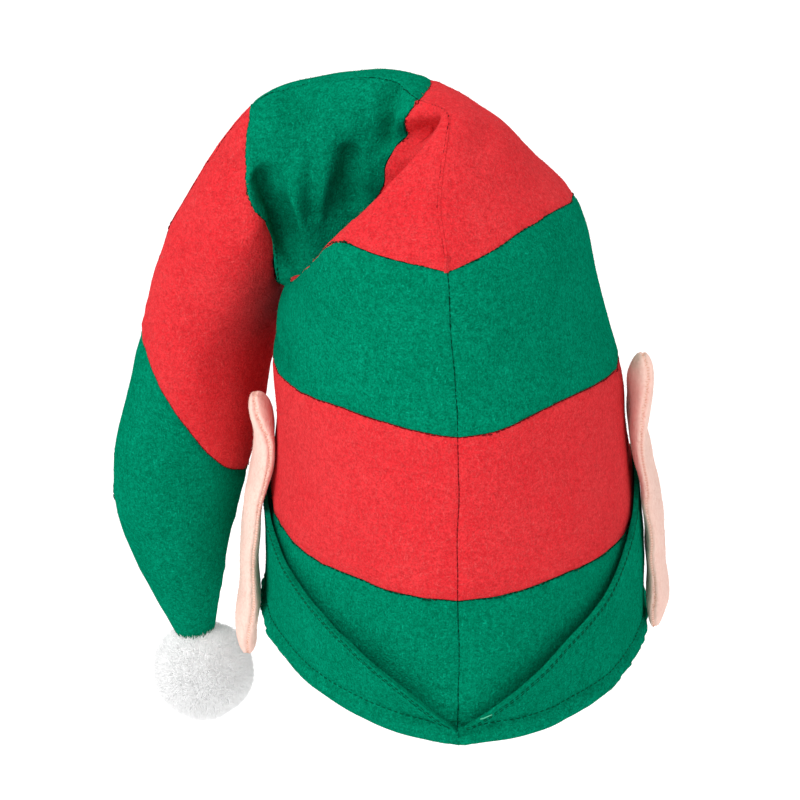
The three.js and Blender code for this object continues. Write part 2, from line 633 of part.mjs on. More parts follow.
// The pompom: a ball of short locks of yarn fused to their core, with a hole for the hat's tip.
function pompom() {
  const radius = pompomDiameter / 2;
  const tip = railPoint("front", 7).add(railPoint("back", 7)).multiplyScalar(0.5);
  const centre = tip.clone().add(new THREE.Vector3(pompomSet[0], pompomSet[1], pompomSet[2]).multiplyScalar(radius));
  const core = new THREE.IcosahedronGeometry(radius - pompomLockLength * 0.7, 2);
  let ball = solidOf(core);
  for (let i = 0; i < pompomLocks; i += 1) {
    const z = 1 - (2 * (i + 0.5)) / pompomLocks;
    const turn = i * Math.PI * (3 - Math.sqrt(5));
    const way = new THREE.Vector3(Math.sqrt(1 - z * z) * Math.cos(turn), Math.sqrt(1 - z * z) * Math.sin(turn), z);
    const vary = 0.5 + 0.5 * Math.sin(i * 2.4);
    const wide = pompomLockWidth * (0.4 + 0.1 * vary);
    const lock = new THREE.CylinderGeometry(wide * 0.4, wide, pompomLockLength * 2, 5);
    lock.rotateX(Math.PI / 2);
    lock.rotateZ(i);
    lock.applyQuaternion(new THREE.Quaternion().setFromUnitVectors(new THREE.Vector3(0, 0, 1), way));
    const reach = radius - pompomLockLength * (1 + 0.2 * vary);
    lock.translate(way.x * reach, way.y * reach, way.z * reach);
    ball = ball.add(solidOf(lock));
  }
  const whole = geometryOf(ball);
  whole.translate(centre.x, centre.y, centre.z);
  const plug = [];
  const plugSteps = 6;
  for (const at of [6.8, 6.9, 7]) {
    const ring = [];
    for (const [side, way] of [["left", 1], ["right", -1]]) {
      for (let c = 0; c < plugSteps; c += 1) {
        const angle = way > 0 ? (back * c) / plugSteps : back - (back * c) / plugSteps;
        ring.push(smoothPoint(side, at, angle, -seamGap * 1.5));
      }
    }
    plug.push(ring);
  }
  plug.push(plug[2].map((p) => p.clone().add(new THREE.Vector3(0, 0, -seamGap * 2))));
  return geometryOf(solidOf(whole).subtract(solidOf(loftGeometry(plug))));
}

const hat = new THREE.Group();
function addPiece(name, geometry, material) {
  const mesh = new THREE.Mesh(geometry, material);
  mesh.name = name;
  hat.add(mesh);
}
for (const side of ["left", "right"]) {
  bands.forEach((band, i) => {
    addPiece(`${band.name}_${side}`, bandHalf(side, i, band.rows, band.stops), felt[band.colour].clone());
  });
  addPiece(`cuff_${side}`, cuffHalf(side), felt.green.clone());
  addPiece(`ear_${side}`, ear(side), velour.clone());
}
addPiece("pompom", pompom(), fluff);

export default hat;
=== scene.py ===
# Elf hat of striped felt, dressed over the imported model.
import bpy
import bmesh
import math
import random
from mathutils import Matrix, Vector, noise
from mathutils.bvhtree import BVHTree
from mathutils.kdtree import KDTree


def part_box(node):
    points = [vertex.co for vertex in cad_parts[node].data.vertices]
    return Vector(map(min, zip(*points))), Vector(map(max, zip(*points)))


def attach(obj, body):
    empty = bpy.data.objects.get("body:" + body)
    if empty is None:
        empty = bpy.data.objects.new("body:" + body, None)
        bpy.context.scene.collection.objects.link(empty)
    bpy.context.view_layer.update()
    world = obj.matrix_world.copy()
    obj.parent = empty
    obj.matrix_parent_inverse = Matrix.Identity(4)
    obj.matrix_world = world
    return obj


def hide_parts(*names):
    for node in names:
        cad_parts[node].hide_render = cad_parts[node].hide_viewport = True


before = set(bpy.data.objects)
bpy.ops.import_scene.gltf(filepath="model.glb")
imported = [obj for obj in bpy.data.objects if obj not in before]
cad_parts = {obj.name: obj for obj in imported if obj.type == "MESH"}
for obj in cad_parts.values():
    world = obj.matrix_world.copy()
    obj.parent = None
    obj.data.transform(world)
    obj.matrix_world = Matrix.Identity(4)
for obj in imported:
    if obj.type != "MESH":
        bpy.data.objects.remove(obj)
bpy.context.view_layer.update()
millimetre = 0.001
print("frame loaded")


# Camera, floor and light

studio = {
    "cameraPlace": (-0.027, -1.1684, 0.6809),
    "lookAt": (-0.027, 0.0, 0.111),
    "lens": 130,
    "sensor": 36,
    "floorHeight": -0.45,
    "floorSize": 14.0,
    "floorGlow": 0.27,
    "worldLight": 0.86,
    "keyPlace": (-0.95, -0.95, 1.75),
    "keySize": 0.9,
    "keyPower": 29,
    "fillPlace": (1.3, -1.3, 0.6),
    "fillSize": 1.6,
    "fillPower": 2,
}


def deselectAll():
    if bpy.context.object and bpy.context.object.mode != "OBJECT":
        bpy.ops.object.mode_set(mode="OBJECT")
    bpy.ops.object.select_all(action="DESELECT")


def makeActive(piece):
    deselectAll()
    piece.select_set(True)
    bpy.context.view_layer.objects.active = piece


def turnTowards(thing, place, target):
    thing.location = place
    thing.rotation_euler = (Vector(target) - Vector(place)).to_track_quat("-Z", "Y").to_euler()


def softLight(name, place, size, power):
    bpy.ops.object.light_add(type="AREA", location=place)
    light = bpy.context.object
    light.name = name
    light.data.size = size
    light.data.energy = power
    turnTowards(light, place, (0, 0, 0.1))


def makeStudio():
    deselectAll()
    bpy.ops.object.camera_add()
    camera = bpy.context.object
    camera.name = "photoCamera"
    camera.data.lens = studio["lens"]
    camera.data.sensor_width = studio["sensor"]
    camera.data.clip_end = 50
    turnTowards(camera, studio["cameraPlace"], studio["lookAt"])
    bpy.context.scene.camera = camera
    deselectAll()
    bpy.ops.mesh.primitive_plane_add(size=studio["floorSize"], location=(0, 0, studio["floorHeight"]))
    floor = bpy.context.object
    floor.name = "floor"
    paint = bpy.data.materials.new("palePaint")
    paint.use_nodes = True
    surface = paint.node_tree.nodes["Principled BSDF"]
    surface.inputs["Base Color"].default_value = (0.93, 0.93, 0.93, 1)
    surface.inputs["Roughness"].default_value = 0.9
    surface.inputs["Emission Color"].default_value = (1, 1, 1, 1)
    surface.inputs["Emission Strength"].default_value = studio["floorGlow"]
    floor.data.materials.append(paint)
    softLight("keyLight", studio["keyPlace"], studio["keySize"], studio["keyPower"])
    softLight("fillLight", studio["fillPlace"], studio["fillSize"], studio["fillPower"])
    world = bpy.data.worlds.new("studioWorld")
    world.use_nodes = True
    world.node_tree.nodes["Background"].inputs["Color"].default_value = (1, 1, 1, 1)
    world.node_tree.nodes["Background"].inputs["Strength"].default_value = studio["worldLight"]
    bpy.context.scene.world = world
    bpy.context.scene.view_settings.view_transform = "Standard"


makeStudio()
print("studio ready")


# Shader node groups

def newGroup(name, inputs, outputs):
    group = bpy.data.node_groups.new(name, "ShaderNodeTree")
    for label, kind, value in inputs:
        socket = group.interface.new_socket(name=label, in_out="INPUT", socket_type=kind)
        socket.default_value = value
    for label, kind in outputs:
        group.interface.new_socket(name=label, in_out="OUTPUT", socket_type=kind)
    return group


def addNode(tree, kind, **settings):
    node = tree.nodes.new(kind)
    for key, value in settings.items():
        setattr(node, key, value)
    return node


def noiseAt(tree, coordinates, scale, detail, roughness=0.5, stretch=None, turn=(0, 0, 0)):
    if stretch:
        mapping = addNode(tree, "ShaderNodeMapping")
        mapping.inputs["Scale"].default_value = stretch
        mapping.inputs["Rotation"].default_value = turn
        tree.links.new(coordinates, mapping.inputs["Vector"])
        coordinates = mapping.outputs["Vector"]
    texture = addNode(tree, "ShaderNodeTexNoise")
    texture.inputs["Scale"].default_value = scale
    texture.inputs["Detail"].default_value = detail
    texture.inputs["Roughness"].default_value = roughness
    tree.links.new(coordinates, texture.inputs["Vector"])
    return texture.outputs["Fac"]


def combine(tree, operation, first, second):
    node = addNode(tree, "ShaderNodeMath", operation=operation)
    for slot, value in enumerate((first, second)):
        if isinstance(value, (int, float)):
            node.inputs[slot].default_value = value
        else:
            tree.links.new(value, node.inputs[slot])
    return node.outputs[0]


def spreadOut(tree, value, low, high):
    node = addNode(tree, "ShaderNodeMapRange")
    node.inputs["From Min"].default_value = low
    node.inputs["From Max"].default_value = high
    tree.links.new(value, node.inputs["Value"])
    return node.outputs["Result"]


def mixColours(tree, share, first, second):
    node = addNode(tree, "ShaderNodeMix", data_type="RGBA")
    tree.links.new(share, node.inputs["Factor"])
    for label, value in (("A", first), ("B", second)):
        socket = [one for one in node.inputs if one.name == label and one.type == "RGBA"][0]
        if isinstance(value, tuple):
            socket.default_value = value
        else:
            tree.links.new(value, socket)
    return [one for one in node.outputs if one.type == "RGBA"][0]


# Pressed wool: crossing fibres over a mottled, slightly cloudy ground, with the Shade colour painted as shade in the
# pits where the bump is low.
def feltFibreGroup():
    group = newGroup(
        "feltFibres",
        [
            ("Ground", "NodeSocketColor", (0.5, 0.5, 0.5, 1)),
            ("Shade", "NodeSocketColor", (0.3, 0.3, 0.3, 1)),
            ("Fibre", "NodeSocketColor", (0.8, 0.8, 0.8, 1)),
        ],
        [("Color", "NodeSocketColor"), ("Height", "NodeSocketFloat")],
    )
    given = addNode(group, "NodeGroupInput")
    result = addNode(group, "NodeGroupOutput")
    place = addNode(group, "ShaderNodeTexCoord").outputs["Object"]
    cloudy = spreadOut(group, noiseAt(group, place, 45, 3), 0.32, 0.7)
    clumps = spreadOut(group, noiseAt(group, place, 430, 3, 0.6), 0.34, 0.66)
    grain = spreadOut(group, noiseAt(group, place, 1150, 2, 0.6), 0.36, 0.64)
    fibreSets = [
        noiseAt(group, place, 1, 3, 0.6, (280, 2300, 1300), (0.5, 0.2, 0.6)),
        noiseAt(group, place, 1, 3, 0.6, (2300, 300, 1200), (0.1, 0.6, 0.3)),
        noiseAt(group, place, 1, 3, 0.6, (1300, 2200, 270), (0.7, 0.1, 0.2)),
    ]
    streaks = combine(group, "MAXIMUM", combine(group, "MAXIMUM", fibreSets[0], fibreSets[1]), fibreSets[2])
    fibres = spreadOut(group, streaks, 0.57, 0.69)
    # Painted shade: the darker colour goes where the clumps and the grain are low in the bump.
    clumpPitShade = combine(group, "MULTIPLY", combine(group, "SUBTRACT", 1.0, clumps), 0.36)
    grainPitShade = combine(group, "MULTIPLY", combine(group, "SUBTRACT", 1.0, grain), 0.5)
    paintedPitShade = combine(group, "ADD", clumpPitShade, grainPitShade)
    clouded = mixColours(
        group, combine(group, "MULTIPLY", cloudy, 0.2), given.outputs["Ground"], given.outputs["Fibre"],
    )
    strands = mixColours(group, combine(group, "MULTIPLY", fibres, 0.8), clouded, given.outputs["Fibre"])
    shaded = mixColours(group, paintedPitShade, strands, given.outputs["Shade"])
    group.links.new(shaded, result.inputs["Color"])
    raised = combine(group, "ADD", combine(group, "MULTIPLY", fibres, 0.5), combine(group, "MULTIPLY", clumps, 0.35))
    height = combine(group, "ADD", raised, combine(group, "MULTIPLY", grain, 0.45))
    group.links.new(height, result.inputs["Height"])
    return group


# Short brushed pile, in small tufts that lean together. The Shade colour goes between the tufts, where the pile is
# low: painted shade, with a slow random tone over it.
def pileGroup():
    group = newGroup(
        "shortPile",
        [
            ("Ground", "NodeSocketColor", (0.5, 0.5, 0.5, 1)),
            ("Shade", "NodeSocketColor", (0.3, 0.3, 0.3, 1)),
        ],
        [("Color", "NodeSocketColor"), ("Height", "NodeSocketFloat")],
    )
    given = addNode(group, "NodeGroupInput")
    result = addNode(group, "NodeGroupOutput")
    place = addNode(group, "ShaderNodeTexCoord").outputs["Object"]
    tufts = spreadOut(group, noiseAt(group, place, 520, 4, 0.65), 0.3, 0.7)
    nap = spreadOut(group, noiseAt(group, place, 70, 2), 0.3, 0.7)
    hairs = noiseAt(group, place, 1, 3, 0.6, (1500, 1500, 350), (0.2, 0.3, 0.1))
    # Painted shade: darker where the tufts are low in the bump.
    share = combine(group, "MULTIPLY", combine(group, "SUBTRACT", 1.0, tufts), 0.5)
    paintedTuftShadeAndNap = combine(group, "ADD", share, combine(group, "MULTIPLY", nap, 0.15))
    group.links.new(mixColours(group, paintedTuftShadeAndNap, given.outputs["Ground"], given.outputs["Shade"]), result.inputs["Color"])
    height = combine(group, "ADD", combine(group, "MULTIPLY", tufts, 0.7), combine(group, "MULTIPLY", hairs, 0.4))
    group.links.new(height, result.inputs["Height"])
    return group


feltFibres = feltFibreGroup()
shortPile = pileGroup()


# Materials

finishes = {
    "greenFelt": {
        "slot": "felt_green",
        "group": feltFibres,
        "colours": {
            "Ground": (0.0, 0.235, 0.122, 1),
            "Shade": (0.0, 0.10, 0.048, 1),
            "Fibre": (0.004, 0.50, 0.29, 1),
        },
        "roughness": 0.95,
        "sheen": 0.02,
        "gloss": 0.0,
        "sheenTint": (0.0, 1.0, 0.6, 1),
        "bump": 0.75,
        "bumpDepth": 0.8 * millimetre,
    },
    "redFelt": {
        "slot": "felt_red",
        "group": feltFibres,
        "colours": {
            "Ground": (0.82, 0.034, 0.043, 1),
            "Shade": (0.56, 0.014, 0.02, 1),
            "Fibre": (1.0, 0.11, 0.11, 1),
        },
        "roughness": 0.95,
        "sheen": 0.03,
        "gloss": 0.02,
        "sheenTint": (1.0, 0.6, 0.55, 1),
        "bump": 0.75,
        "bumpDepth": 0.8 * millimetre,
    },
    "pinkFleece": {
        "slot": "ear_fleece",
        "group": shortPile,
        "colours": {"Ground": (0.93, 0.66, 0.57, 1), "Shade": (0.80, 0.45, 0.37, 1)},
        "roughness": 0.9,
        "sheen": 0.2,
        "sheenTint": (1.0, 0.9, 0.85, 1),
        "bump": 0.6,
        "bumpDepth": 0.8 * millimetre,
    },
    "whiteYarn": {
        "slot": "pompom_yarn",
        "group": shortPile,
        "colours": {"Ground": (0.98, 0.98, 0.98, 1), "Shade": (0.95, 0.95, 0.955, 1)},
        "roughness": 0.9,
        "sheen": 0.3,
        "sheenTint": (1.0, 1.0, 1.0, 1),
        "bump": 0.1,
        "bumpDepth": 0.3 * millimetre,
        "softness": 0.6,
        # The yarn glows a little: painted light that brightens the pompom beyond what the lamps give.
        "paintedGlow": 0.12,
    },
    "greenThread": {
        "slot": "felt_green",
        "group": shortPile,
        "colours": {"Ground": (0.0, 0.09, 0.042, 1), "Shade": (0.0, 0.055, 0.026, 1)},
        "roughness": 0.6,
        "sheen": 0.0,
        "gloss": 0.02,
        "sheenTint": (0.5, 1.0, 0.7, 1),
        "bump": 0.2,
        "bumpDepth": 0.1 * millimetre,
    },
    # Seam thread, far darker than the green felt: real thread whose colour also paints the shade in the seam's gap.
    "greenSeamThread": {
        "slot": "felt_green",
        "group": shortPile,
        "colours": {"Ground": (0.0, 0.04, 0.019, 1), "Shade": (0.0, 0.02, 0.009, 1)},
        "roughness": 0.6,
        "sheen": 0.0,
        "gloss": 0.02,
        "sheenTint": (0.5, 1.0, 0.7, 1),
        "bump": 0.2,
        "bumpDepth": 0.1 * millimetre,
    },
    "paleThread": {
        "slot": "felt_green",
        "group": shortPile,
        "colours": {"Ground": (0.12, 0.52, 0.33, 1), "Shade": (0.06, 0.36, 0.22, 1)},
        "roughness": 0.5,
        "sheen": 0.0,
        "gloss": 0.02,
        "sheenTint": (0.5, 1.0, 0.7, 1),
        "bump": 0.2,
        "bumpDepth": 0.1 * millimetre,
    },
    # Seam thread, far darker than the red felt: real thread whose colour also paints the shade in the seam's gap.
    "redSeamThread": {
        "slot": "felt_red",
        "group": shortPile,
        "colours": {"Ground": (0.16, 0.006, 0.009, 1), "Shade": (0.09, 0.003, 0.005, 1)},
        "roughness": 0.6,
        "sheen": 0.0,
        "gloss": 0.02,
        "sheenTint": (1.0, 0.5, 0.5, 1),
        "bump": 0.2,
        "bumpDepth": 0.1 * millimetre,
    },
    "pinkThread": {
        "slot": "ear_fleece",
        "group": shortPile,
        "colours": {"Ground": (0.80, 0.47, 0.33, 1), "Shade": (0.66, 0.34, 0.24, 1)},
        "roughness": 0.6,
        "sheen": 0.05,
        "sheenTint": (1.0, 0.9, 0.85, 1),
        "bump": 0.2,
        "bumpDepth": 0.1 * millimetre,
    },
}


def makeFinish(name):
    values = finishes[name]
    finish = bpy.data.materials.new(name)
    finish.use_nodes = True
    tree = finish.node_tree
    surface = tree.nodes["Principled BSDF"]
    pattern = addNode(tree, "ShaderNodeGroup", node_tree=values["group"])
    for label, colour in values["colours"].items():
        pattern.inputs[label].default_value = colour
    bump = addNode(tree, "ShaderNodeBump")
    bump.inputs["Strength"].default_value = values["bump"]
    bump.inputs["Distance"].default_value = values["bumpDepth"]
    tree.links.new(pattern.outputs["Height"], bump.inputs["Height"])
    tree.links.new(bump.outputs["Normal"], surface.inputs["Normal"])
    tree.links.new(pattern.outputs["Color"], surface.inputs["Base Color"])
    surface.inputs["Roughness"].default_value = values["roughness"]
    surface.inputs["Specular IOR Level"].default_value = values.get("gloss", 0.2)
    surface.inputs["Sheen Weight"].default_value = values["sheen"]
    surface.inputs["Sheen Roughness"].default_value = 0.45
    surface.inputs["Sheen Tint"].default_value = values["sheenTint"]
    if "softness" in values:
        surface.inputs["Subsurface Weight"].default_value = values["softness"]
        surface.inputs["Subsurface Radius"].default_value = (0.004, 0.004, 0.004)
        surface.inputs["Subsurface Scale"].default_value = 1.0
    # Painted light: the material is given a glow, though the thing is no lamp.
    if "paintedGlow" in values:
        surface.inputs["Emission Color"].default_value = (1, 1, 1, 1)
        surface.inputs["Emission Strength"].default_value = values["paintedGlow"]
    return finish


materials = {name: makeFinish(name) for name in finishes}
print("materials ready")


# Stitches

def stitchShape():
    deselectAll()
    bpy.ops.mesh.primitive_uv_sphere_add(segments=6, ring_count=4, radius=1)
    shape = bpy.context.object
    shape.rotation_euler = (0, math.pi / 2, 0)
    shape.scale = (0.5, 0.5, 0.5)
    bpy.ops.object.transform_apply(location=True, rotation=True, scale=True)
    return shape


# Lays copies of one stitch along a line of places with their normals.
def layStitches(name, shape, lines, values, material, crossways=False):
    corners = []
    faces = []
    pitch = values["length"] + values["gap"]
    if crossways:
        pitch = values["gap"] + values["thick"]
    for line in lines:
        walked = 0.0
        due = pitch / 2
        for (start, startNormal), (end, endNormal) in zip(line, line[1:]):
            run = end - start
            while 0 < run.length < 5 * millimetre and due <= walked + run.length:
                share = (due - walked) / run.length
                up = startNormal.lerp(endNormal, share).normalized()
                place = start.lerp(end, share) + up * values["lift"]
                along = (run - up * run.dot(up)).normalized()
                across = up.cross(along)
                if crossways:
                    along, across = across, along
                first = len(corners)
                for vertex in shape.data.vertices:
                    x, y, z = vertex.co
                    flat = along * x * values["length"] + across * y * values["thick"]
                    corners.append(place + flat + up * z * values["thick"])
                faces.extend(tuple(first + corner for corner in face.vertices) for face in shape.data.polygons)
                due += pitch
            walked += run.length
            due = max(due, walked)
    mesh = bpy.data.meshes.new(name)
    mesh.from_pydata(corners, [], faces)
    piece = bpy.data.objects.new(name, mesh)
    bpy.context.scene.collection.objects.link(piece)
    piece.data.materials.append(material)
    makeActive(piece)
    bpy.ops.object.mode_set(mode="EDIT")
    bpy.ops.mesh.select_all(action="SELECT")
    bpy.ops.mesh.normals_make_consistent(inside=False)
    bpy.ops.object.mode_set(mode="OBJECT")
    bpy.ops.object.shade_smooth()
    return piece


# Felt panels

panels = {
    "brimBand": {"node": "brim_band", "felt": "greenFelt", "cut": (0.32, 0.080), "share": 0.85, "finer": 2},
    "lowerBand": {"node": "lower_band", "felt": "redFelt", "cut": (0.31, 0.085), "share": 0.85, "finer": 2},
    "middleBand": {"node": "middle_band", "felt": "greenFelt", "cut": (0.29, 0.085), "share": 0.75, "finer": 2},
    "shoulderBand": {"node": "shoulder_band", "felt": "redFelt", "cut": (0.25, 0.085), "share": 0.65, "finer": 3},
    "foldBand": {"node": "fold_band", "felt": "greenFelt", "cut": (0.16, 0.085), "share": 0.7, "finer": 3},
    "tailBand": {"node": "tail_band", "felt": "redFelt", "cut": (0.14, 0.10), "share": 0.9, "finer": 2},
    "tipBand": {"node": "tip_band", "felt": "greenFelt", "cut": (0.11, 0.17), "share": 0.6, "finer": 2},
}
cuffCut = {"node": "cuff", "felt": "greenFelt", "cut": (0.33, 0.11), "share": 0.5, "finer": 3}
edges = {"sharp": 48, "round": 0.9 * millimetre, "steps": 2, "wallTurn": 35}
allowance = {
    "width": 6.5 * millimetre,
    "thick": 1.3 * millimetre,
    "lap": 0.22 * millimetre,
    "clear": 0.1 * millimetre,
    "creaseLow": (-82 * millimetre, -14 * millimetre, 160 * millimetre),
    "creaseHigh": (-6 * millimetre, 66 * millimetre, 262 * millimetre),
}
seamThread = {
    "length": 2.3 * millimetre,
    "gap": 0.3 * millimetre,
    "thick": 0.62 * millimetre,
    "lift": -0.3 * millimetre,
    "reach": 1.6 * millimetre,
}
seamPull = {
    "spacing": 1.5 * millimetre,
    "dip": 0.85 * millimetre,
    "dipWidth": 2.2 * millimetre,
    "pucker": 0.8 * millimetre,
    "puckerWidth": 6 * millimetre,
    "puckerWave": 6.5 * millimetre,
}
ripple = {
    "wave": 34 * millimetre,
    "height": 1.1 * millimetre,
    "smallWave": 12 * millimetre,
    "smallHeight": 0.4 * millimetre,
    "seed": 4,
}
noise.seed_set(ripple["seed"])  # without a seed, noise_vector draws from the clock

# Folds that are finer than the bands' own shape: which piece each runs on, how deep it is pressed
# (below 0 it is raised), how wide it is and where it runs, in millimetres.
folds = {
    "curtainHollow": ["foldBand_left", 5, 17, [(-62, -17, 234), (-58, -16, 214)]],
    "curtainValley": ["foldBand_left", 14, 5.5, [(-84, -14, 219), (-82, -12, 208), (-80, -9, 200), (-77, -5, 190)]],
    "curtainValleyTop": ["foldBand_left", 4.5, 7, [(-88, -14, 234), (-85, -14, 221)]],
    "curtainPocket": ["foldBand_left", 8, 8, [(-80, -10, 203), (-77, -5, 191)]],
    "curtainRidge": ["foldBand_left", -3, 5, [(-74, -15, 222), (-72, -16, 210), (-70, -13, 197)]],
    "curtainGroove": ["foldBand_left", 3.5, 4.5, [(-66, -16, 240), (-65, -19, 222), (-64, -17, 208)]],
    "curtainPleat": ["foldBand_left", -2.5, 4.5, [(-58, -18, 228), (-58, -17, 210)]],
    "lipValley": ["foldBand_left", 8, 5, [(-48, -15, 232), (-49, -14, 222), (-48, -14, 212)]],
    "lipPleat": ["foldBand_left", -2, 4.5, [(-39, -14, 236), (-41, -14, 222)]],
    "seamShade": ["foldBand_left", 7, 5, [(-31, -14, 264), (-29, -15, 254), (-28, -17, 243)]],
    "topShade": ["foldBand_left", 5, 6, [(-77, -3, 256), (-69, -9, 248)]],
    "shoulderCrease": ["shoulderBand_left", 8, 3.8, [(-13, -36, 255), (-17, -27, 250), (-21, -22, 244)]],
    "shoulderRoll": ["shoulderBand_left", -1.8, 4.5, [(-17, -24, 258), (-22, -20, 251)]],
    "shoulderShade": ["shoulderBand_right", 1.6, 8, [(9, -20, 256), (7, -44, 251)]],
    "tailCrease": ["tailBand_left", 3, 4, [(-109, 6, 227), (-103, -1, 227), (-98, -7, 227)]],
    "tailRidge": ["tailBand_left", -2, 8, [(-109, -1, 219), (-112, -7, 197)]],
    "tailShade": ["tailBand_left", 3, 8, [(-100, -9, 222), (-98, -15, 205)]],
    "tailCushion": ["tailBand_left", -3, 10, [(-97, -10, 176), (-98, -6, 162)]],
    "tailTwist": ["tailBand_left", 3, 10, [(-119, -9, 172), (-117, -10, 150)]],
    "tipTwist": ["tipBand_left", 2.5, 11, [(-136, -5, 96), (-125, -6, 72)]],
    "tipPleat": ["tipBand_left", 1.2, 4, [(-146, 0, 34), (-134, -5, 42)]],
    "tipPleatHigh": ["tipBand_left", 1.2, 4, [(-143, -3, 52), (-131, -6, 58)]],
    "sideNotch": ["middleBand_left", 2, 6, [(-79, -30, 156), (-77, -36, 152)]],
    "seamDot": ["middleBand_left", 1.3, 3, [(-14, -87, 202), (-12, -88, 199)]],
    "seamArc": ["middleBand_right", 1.2, 2.6, [(-5, -89, 190), (0, -88, 186), (8, -87, 185), (16, -84, 187)]],
    "seamArcRidge": ["middleBand_right", -0.8, 4, [(-2, -88, 195), (8, -86, 192)]],
    "crownShade": ["middleBand_right", 1.6, 12, [(23, -81, 176), (40, -63, 162)]],
    "crownShadeLeft": ["middleBand_left", 1.4, 12, [(-46, -70, 190), (-56, -60, 176)]],
    "redShade": ["lowerBand_left", 0.9, 7, [(-38, -88, 128), (-16, -97, 131)]],
    "redShadeRight": ["lowerBand_right", 1.1, 9, [(32, -85, 132), (50, -72, 118)]],
}


# Edges that hang lower or further forward than the band: the pieces, which way and how far the edge
# is drawn, how wide the draw is and where the edge runs, in millimetres.
draws = {
    "curtainLip": [
        ["foldBand_left"], (4.5, -8, -9.5), 8,
        [(-76, 3, 177), (-73, -2, 182), (-70, -5, 186), (-66, -7, 190), (-58, -5, 194)],
    ],
    "shoulderLobe": [
        ["foldBand_left", "foldBand_right", "shoulderBand_left", "shoulderBand_right"], (-6, -1, 0), 11,
        [(-20, -22, 253), (-21, -21, 246), (-24, -19, 240), (-27, -17, 234)],
    ],
}


def copyOfNode(node, name):
    piece = bpy.data.objects.new(name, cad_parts[node].data.copy())
    piece.data.materials.clear()
    bpy.context.scene.collection.objects.link(piece)
    makeActive(piece)
    bpy.ops.object.mode_set(mode="EDIT")
    bpy.ops.mesh.select_all(action="SELECT")
    bpy.ops.mesh.remove_doubles(threshold=0.01 * millimetre)
    bpy.ops.mesh.tris_convert_to_quads(face_threshold=math.radians(60), shape_threshold=math.radians(70))
    bpy.ops.mesh.select_all(action="DESELECT")
    bpy.ops.object.mode_set(mode="OBJECT")
    return piece


def applyModifier(piece, kind, **settings):
    makeActive(piece)
    modifier = piece.modifiers.new(kind.lower(), kind)
    for key, value in settings.items():
        setattr(modifier, key, value)
    bpy.ops.object.modifier_apply(modifier=modifier.name)


# Keeps the cut edges of the felt crisp while the rest is smoothed, then rounds them a little.
def softenFelt(piece, finer):
    makeActive(piece)
    bpy.ops.object.mode_set(mode="EDIT")
    bpy.ops.mesh.select_mode(type="EDGE")
    bpy.ops.mesh.edges_select_sharp(sharpness=math.radians(edges["sharp"]))
    bpy.ops.transform.edge_crease(value=1)
    bpy.ops.object.mode_set(mode="OBJECT")
    applyModifier(piece, "SUBSURF", levels=finer, render_levels=finer)
    applyModifier(
        piece, "BEVEL", width=edges["round"], segments=edges["steps"],
        limit_method="ANGLE", angle_limit=math.radians(edges["sharp"]),
    )
    bpy.ops.object.shade_smooth()


# The face numbers of a band's outer wall and of its inner wall: the two largest smooth regions,
# of which the outer one faces away from the middle of its two halves.
def wallFaces(piece, middle):
    mesh = bmesh.new()
    mesh.from_mesh(piece.data)
    mesh.normal_update()
    walls = []
    waiting = set(mesh.faces)
    while waiting:
        front = [waiting.pop()]
        wall = set(front)
        while front:
            for edge in front.pop().edges:
                if edge.calc_face_angle(0) < math.radians(edges["wallTurn"]):
                    found = [face for face in edge.link_faces if face in waiting]
                    waiting.difference_update(found)
                    wall.update(found)
                    front.extend(found)
        walls.append(wall)
    walls.sort(key=lambda wall: -sum(face.calc_area() for face in wall))
    facing = [
        sum(face.calc_area() * face.normal.dot(face.calc_center_median() - middle) for face in wall)
        for wall in walls[:2]
    ]
    if facing[1] > facing[0]:
        walls[0], walls[1] = walls[1], walls[0]
    numbers = [{face.index for face in wall} for wall in walls[:2]]
    mesh.free()
    return numbers


# The seam allowance of a band: a strip of its felt pressed flat inside along every seam. In the
# crease of the bend there is no room for it, so the strip is trimmed away there.
def addAllowance(piece, source, inner, finer):
    strip = bpy.data.objects.new(piece.name + "_strip", source.data.copy())
    bpy.context.scene.collection.objects.link(strip)
    mesh = bmesh.new()
    mesh.from_mesh(strip.data)
    bmesh.ops.delete(mesh, geom=[face for face in mesh.faces if face.index not in inner], context="FACES")
    mesh.to_mesh(strip.data)
    mesh.free()
    applyModifier(
        strip, "SUBSURF", levels=finer, render_levels=finer, boundary_smooth="PRESERVE_CORNERS",
    )
    mesh = bmesh.new()
    mesh.from_mesh(strip.data)
    for vertex in [vertex for vertex in mesh.verts if vertex.is_boundary]:
        centre = sum((face.calc_center_median() for face in vertex.link_faces), Vector()) / len(vertex.link_faces)
        away = vertex.co - centre
        away -= vertex.normal * away.dot(vertex.normal)
        vertex.co += away.normalized() * allowance["lap"]
    ring = bmesh.ops.inset_region(
        mesh, faces=mesh.faces[:], thickness=allowance["width"], use_boundary=True, use_even_offset=False,
    )["faces"]
    bmesh.ops.delete(mesh, geom=[face for face in mesh.faces if face not in set(ring)], context="FACES")
    low, high = allowance["creaseLow"], allowance["creaseHigh"]
    creased = []
    for face in mesh.faces:
        place = face.calc_center_median()
        if all(low[axis] < place[axis] < high[axis] for axis in range(3)):
            creased.append(face)
    bmesh.ops.delete(mesh, geom=creased, context="FACES")
    mesh.normal_update()
    for vertex in mesh.verts:
        vertex.co += vertex.normal * allowance["clear"]
    mesh.to_mesh(strip.data)
    mesh.free()
    applyModifier(strip, "SOLIDIFY", thickness=allowance["thick"], offset=1)
    makeActive(strip)
    bpy.ops.object.shade_smooth_by_angle(angle=math.radians(40))
    deselectAll()
    strip.select_set(True)
    piece.select_set(True)
    bpy.context.view_layer.objects.active = piece
    bpy.ops.object.join()


def awayFromLine(place, line):
    nearest = math.inf
    for start, end in zip(line, line[1:]):
        run = end - start
        share = min(max((place - start).dot(run) / run.length_squared, 0), 1)
        nearest = min(nearest, (place - start - run * share).length)
    return nearest


